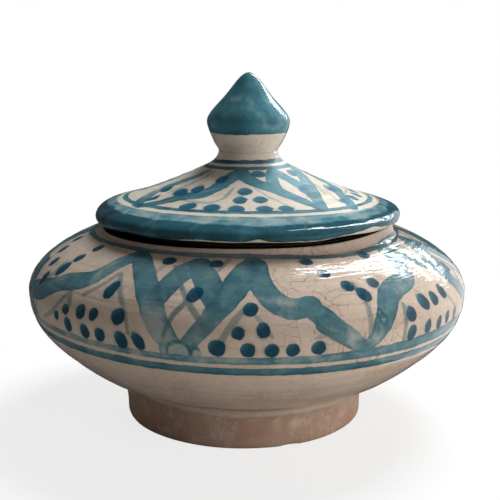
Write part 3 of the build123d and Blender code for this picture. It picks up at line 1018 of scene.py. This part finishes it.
def lidOutline():
    # From the crown down the slope and round the rim, then under the lip, round the ring and up the
    # hollow. Also gives the corners from the lip to the hollow.
    plan = lidPlan
    stem, top, seat, radius = plan["stemRadius"], plan["top"], plan["seat"], plan["radius"]
    lip = seat + plan["lipRise"]
    shoulder = (radius - plan["rimRound"], lip + plan["rimThick"])
    lipPoint = (radius - plan["lipTuck"], lip)
    ring, low = plan["ringRadius"], plan["ringBottom"]
    hole, seatEdge = ring - plan["ringWall"], ring + plan["seatWidth"]
    drip = (seatEdge + 0.3, lip + plan["dripRise"])
    hollowFoot = (hole, lip + plan["hollowRise"])
    slope = shareCurve((stem, top), shoulder, plan["slopeShares"], (0, -1), (1, -0.4), plan["gap"])
    rim = smoothCurve([shoulder, (radius, lip + plan["rimSwell"]), lipPoint], (1, -0.4), (-0.7, -0.75),
                      plan["rimGap"])
    hollow = shareCurve(hollowFoot, (0, top - plan["crownThick"]), plan["hollowShares"], (-0.5, 1), (-1, 0),
                        plan["hollowGap"])
    corners = [lipPoint, (lipPoint[0] - plan["lipThick"], lip), drip, (seatEdge, drip[1]), (seatEdge, seat),
               (ring, seat), (ring, low), (hole, low), hollowFoot]
    runs = [straightRun(start, end, 0.8) for start, end in zip(corners, corners[1:])]
    outline = joinStretches([straightRun((0, top), (stem, top), 3.6), slope, rim] + runs + [hollow])
    for corner, reach in zip(corners, plan["rounding"]):
        outline = roundCorner(outline, corner, reach, 4)
    return outline, corners


def makeLid():
    plan = lidPlan
    outline, corners = lidOutline()
    piece = spinPiece("paintedLid", outline, plan["steps"])
    zero = arcAt(outline, (plan["stemRadius"], plan["top"]))
    ends, ringStart, ringLow = [arcAt(outline, corners[k]) for k in (1, 5, 6)]
    wall = makeWall(outline, zero, zero - 0.2, ends, 26.0)
    paintStrokes(piece, "wash", aroundLid(lidPanelWash, (-10, 35), (-10, 35)), wall)
    paintStrokes(piece, "line", aroundLid(lidPanelLines, (-60, 70), (-60, 10)), wall)
    paintDots(piece, aroundLid(lidPanelDots, (-20, 60), (-40, 45)), wall)
    paintBands(piece, [ringBand(*row) for row in lidRings] + [rimBand], wall)

    place, turn, arc = readVertices(piece)
    down = arc - zero
    lidShade = np.maximum(ends + 0.1 - arc, arc - ringStart - 1.0)
    writeField(piece, "lidShadeEdge", np.where(lidShade > 0, 8 * lidShade, lidShade))  # painted shade under the lip, stopping sharply so that the rim above it stays unshaded
    writeField(piece, "bareEdge", arc - ringStart - 0.5)  # no glaze on the ring and the hollow
    writeField(piece, "worn", ramp(down, 44, -4) * ramp(down, 1, 3))  # duller above its rim
    onRim = ramp(down, 47, 5) * ramp(arc, ringLow - 6, -1.5)
    place[:, 2] += onRim * (waves(turn, plan["lipWaves"]) + bumps(turn, plan["lipBumps"]))
    onSlope = ramp(down, 6, 8) * ramp(down, 46, -5)
    rings = [(0.07, 0, down * 1.05 + np.sin(np.radians(turn))), (0.03, 0, down * 2.4)]
    place[:, 2] -= onSlope * (0.10 + waves(turn, rings))
    moveVertices(piece, place)
    return piece


# Knob

knobPlan = {
    "stem": lidPlan["stemRadius"], "low": nodeSizes("knob")["low"], "tip": nodeSizes("knob")["high"],
    "radius": nodeSizes("knob")["radius"], "belly": 10.3, "steps": 320, "gap": 0.5,
    "lowerShares": [(0.25, 0.18), (0.60, 0.46), (0.93, 0.83)],
    "upperShares": [(0.89, 0.21), (0.58, 0.51), (0.34, 0.775), (0.175, 0.93)],
    "paintFrom": 105.0, "paintWaves": [(0.15, 3, 0)], "fill": 0.66, "fillLow": 0.26, "fillLowTall": 2.6,
    "crease": {"height": 100.2, "slant": 1.6, "middle": -38, "half": 42, "deep": 0.32, "wide": 0.45},
    "tuck": 0.18, "lumps": [(0.16, 2, 1.2)],
}


def makeKnob():
    plan = knobPlan
    low, tip, stem, radius = plan["low"], plan["tip"], plan["stem"], plan["radius"]
    widest = (radius, low + plan["belly"])
    lower = shareCurve((stem, low), widest, plan["lowerShares"], (0.3, 1), (0, 1), plan["gap"])
    upper = shareCurve(widest, (0, tip), plan["upperShares"], (0, 1), (-1, 0), plan["gap"])
    outline = joinStretches([straightRun((0, low), (stem, low), 3.6), lower, upper])
    piece = spinPiece("budKnob", outline, plan["steps"])
    place, turn, arc = readVertices(piece)
    height = place[:, 2]
    edge = plan["paintFrom"] + waves(turn, plan["paintWaves"]) - height
    writeField(piece, "bandEdge", np.maximum(edge, -noPaint))
    settled = ramp(height, plan["paintFrom"] + plan["fillLowTall"], -plan["fillLowTall"]) ** 1.5
    writeField(piece, "bandTone", plan["fill"] + plan["fillLow"] * settled)
    for name in ("washEdge", "washOver", "lineEdge", "dotEdge", "lidShadeEdge"):
        writeField(piece, name, noPaint)
    for name in ("washTone", "lineTone", "dotSettle"):
        writeField(piece, name, 0)
    writeField(piece, "bareEdge", -noPaint)
    # the crease where the knob was luted on, and the lumps that the hand left
    crease = plan["crease"]
    off = turnGap(turn, crease["middle"]) / crease["half"]
    line = height - crease["height"] - crease["slant"] * off
    groove = np.exp(-(line / crease["wide"]) ** 2) * np.clip(1 - off ** 2, 0, 1) * crease["deep"]
    lump = plan["tuck"] + waves(turn, plan["lumps"] + [(0.08, 3, height * 0.3)])
    drawIn(place, groove + lump * ramp(height, low, 4) * ramp(height, tip, -4), 1.5)
    moveVertices(piece, place)
    return piece


# Stage, lights and camera

stagePlan = {
    "floorRadius": 4.0, "floor": rgb(216, 213, 208), "shownFloor": rgb(250, 250, 250), "fade": (0.08, 0.36),
    "shadowShare": 0.22, "room": (1.0, 0.97, 0.94), "roomStrength": 0.03,
    "centre": (0, 0, 0.06), "cardRadius": 1.6, "cardHeight": 1.8, "cardLift": 0.0005,
    "cardOpen": (-10, 68), "cardShade": (0.045, 0.05, 0.055), "cardFloorTo": 300, "cardCorner": (0.07, -0.05),
}


def dressedMesh(bm, name):  # the thing, and the sheet of its empty material
    thing = linkMesh(bm, name)
    material, nodes = newMaterial(name)
    thing.data.materials.append(material)
    return thing, nodes


def makeStage():
    plan = stagePlan
    bm = bmesh.new()
    bmesh.ops.create_circle(bm, cap_ends=True, radius=plan["floorRadius"], segments=96)
    floor, nodes = dressedMesh(bm, "paleFloor")
    plain = nodes.add("ShaderNodeBsdfDiffuse", {"Color": plan["floor"]})
    pale = nodes.add("ShaderNodeBsdfDiffuse", {"Color": plan["shownFloor"]})
    white = nodes.add("ShaderNodeEmission", {"Color": (1, 1, 1, 1), "Strength": 1.0})
    away = nodes.ease(nodes.distance(nodes.place(), (0, 0, 0)), *plan["fade"])
    fade = nodes.scaled(away, plan["shadowShare"], 1 - plan["shadowShare"])
    shown = nodes.mixShaders(fade, pale, white)
    mixed = nodes.mixShaders(nodes.seenWhite(), plain, shown)
    nodes.add("ShaderNodeOutputMaterial", {0: mixed.outputs[0]})


def makeWorld():
    world = bpy.data.worlds.new("softRoom")
    bpy.context.scene.world = world
    world.use_nodes = True
    nodes = NodeSheet(world.node_tree)
    room = nodes.add("ShaderNodeBackground", {"Color": stagePlan["room"] + (1,),
                                              "Strength": stagePlan["roomStrength"]})
    white = nodes.add("ShaderNodeBackground", {"Color": (1, 1, 1, 1), "Strength": 1.0})
    mixed = nodes.mixShaders(nodes.seenWhite(), room, white)
    nodes.add("ShaderNodeOutputWorld", {0: mixed.outputs[0]})


def showInReflections(bm, name, light, strengths, climb=(0.0, 1.0)):
    # A glowing thing that only reflections see, with its strength growing from the lower height to the upper.
    thing, nodes = dressedMesh(bm, name)
    height = nodes.add("ShaderNodeSeparateXYZ", {0: nodes.place()}).outputs["Z"]
    strength = nodes.scaled(nodes.ease(height, *climb), strengths[1] - strengths[0], strengths[0])
    glow = nodes.add("ShaderNodeEmission", {"Color": light + (1,), "Strength": strength})
    nodes.add("ShaderNodeOutputMaterial", {0: glow.outputs[0]})
    thing.visible_camera = thing.visible_diffuse = thing.visible_shadow = thing.visible_transmission = False


def makeCards():
    # Dark cards round the jar and on the floor, open on the right, so that the glaze mirrors a dim room
    # with a bright side.
    plan = stagePlan
    bm = bmesh.new()
    corners = []
    turns = np.linspace(plan["cardOpen"][1], plan["cardOpen"][0] + 360, 25)
    for turn in turns:
        spot = Vector((math.cos(math.radians(turn)), math.sin(math.radians(turn)), 0)) * plan["cardRadius"]
        corners.append([bm.verts.new(spot + Vector((0, 0, height)))
                        for height in (plan["cardLift"], plan["cardHeight"])])
    for left, right in zip(corners, corners[1:]):
        bm.faces.new((left[0], right[0], right[1], left[1]))
    bm.faces.new([pair[1] for pair in corners])
    inner = bm.verts.new(plan["cardCorner"] + (plan["cardLift"],))
    bm.faces.new([pair[0] for pair, turn in zip(corners, turns) if turn <= plan["cardFloorTo"]] + [inner])
    showInReflections(bm, "darkCards", plan["cardShade"], (1.0, 1.0))


# The window that the glaze mirrors: slats of light behind the jar on the right. Its corners are turn and
# rise in degrees, with the turn counted from straight behind towards the right.
windowPlan = {
    "topLeft": (22.5, 62), "topRight": (43, 47), "lowLeft": (27, 10), "lowRight": (54, 10),
    "far": 0.91, "slats": 7, "share": 0.45, "light": (0.92, 0.97, 1.0),
    "strength": (6.0, 34.0), "climb": (0.25, 0.85),
}


def wayTo(turn, rise):  # the direction of a turn and a rise, with the turn counted from straight behind
    turn, rise = math.radians(turn), math.radians(rise)
    return Vector((math.sin(turn) * math.cos(rise), math.cos(turn) * math.cos(rise), math.sin(rise)))


def makeWindow():
    plan = windowPlan
    bm = bmesh.new()

    def cornerAt(side, share):
        low, top = np.array(plan["low" + side]), np.array(plan["top" + side])
        return bm.verts.new(Vector(stagePlan["centre"]) + wayTo(*(low + (top - low) * share)) * plan["far"])

    for count in range(plan["slats"]):
        low, high = (count + 1 - plan["share"]) / plan["slats"], (count + 1) / plan["slats"]
        sides = (("Left", low), ("Right", low), ("Right", high), ("Left", high))
        bm.faces.new([cornerAt(side, share) for side, share in sides])
    showInReflections(bm, "windowSlats", plan["light"], plan["strength"], plan["climb"])


# A lamp stands at an azimuth and a height angle, one metre from the jar, and faces it.
lights = {
    "sky": {"turn": 140, "rise": 61, "power": 12.4, "colour": (0.94, 0.985, 1.0)},
    "lowFront": {"turn": 50, "rise": 5, "power": 4.3, "colour": (1.0, 0.96, 0.93)},
    "lowRight": {"turn": 76, "rise": 6, "power": 4.1, "colour": (1.0, 0.97, 0.94)},
    "left": {"turn": -90, "rise": 40, "power": 0.8, "colour": (1.0, 0.98, 0.95)},
    "backLeft": {"turn": -150, "rise": 30, "power": 1.0, "colour": (1.0, 0.98, 0.95)},
}
lampSide = 0.5


def makeLights():
    for name, plan in lights.items():
        data = bpy.data.lights.new(name, "AREA")
        data.shape = "RECTANGLE"
        data.size = data.size_y = lampSide
        data.energy = plan["power"]
        data.color = plan["colour"]
        lamp = linkThing(name, data)
        lamp.visible_glossy = False
        way = wayTo(180 - plan["turn"], plan["rise"])
        lamp.location = Vector(stagePlan["centre"]) + way
        lamp.rotation_euler = way.to_track_quat("Z", "Y").to_euler()


cameraPlan = {"back": 0.360, "height": 0.1371, "pitch": 0.2085, "yaw": 0.0027, "roll": 0.0078,
              "lens": 71.06, "sensor": 36.0}  # metres, radians and, for the last two, millimetres


def makeCamera():
    plan = cameraPlan
    pitch, yaw, roll = plan["pitch"], plan["yaw"], plan["roll"]
    ahead = Vector((math.sin(yaw) * math.cos(pitch), math.cos(yaw) * math.cos(pitch), -math.sin(pitch)))
    side = ahead.cross(Vector((0, 0, 1))).normalized()
    above = side.cross(ahead)
    right = side * math.cos(roll) + above * math.sin(roll)
    up = above * math.cos(roll) - side * math.sin(roll)
    data = bpy.data.cameras.new("photoView")
    data.lens = plan["lens"]
    data.sensor_width = plan["sensor"]
    data.clip_start = 0.01
    camera = linkThing("photoView", data)
    turned = Matrix((right, up, -ahead)).transposed()
    camera.matrix_world = Matrix.Translation((0, -plan["back"], plan["height"])) @ turned.to_4x4()
    bpy.context.scene.camera = camera


print("stage: room, lights and camera")
makeCamera()
makeStage()
makeWorld()
makeCards()
makeWindow()
makeLights()
bpy.context.scene.view_settings.view_transform = "Standard"

print("stage: foot ring")
foot = makeFoot()
foot.data.materials.append(footMaterial())
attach(foot, "jar")
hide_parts("foot_ring")

print("stage: bowl and its painting")
bowl = makeBowl()
bowl.data.materials.append(glazeMaterial("paintedJarGlaze", bowlGlaze))
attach(bowl, "jar")
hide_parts("jar_bowl")

print("stage: lid and its painting")
lid = makeLid()
lid.data.materials.append(glazeMaterial("paintedLidGlaze", lidGlaze))
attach(lid, "lid")
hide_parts("lid_cover")

print("stage: knob")
knob = makeKnob()
knob.data.materials.append(glazeMaterial("blueKnobGlaze", knobGlaze))
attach(knob, "lid")
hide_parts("knob")
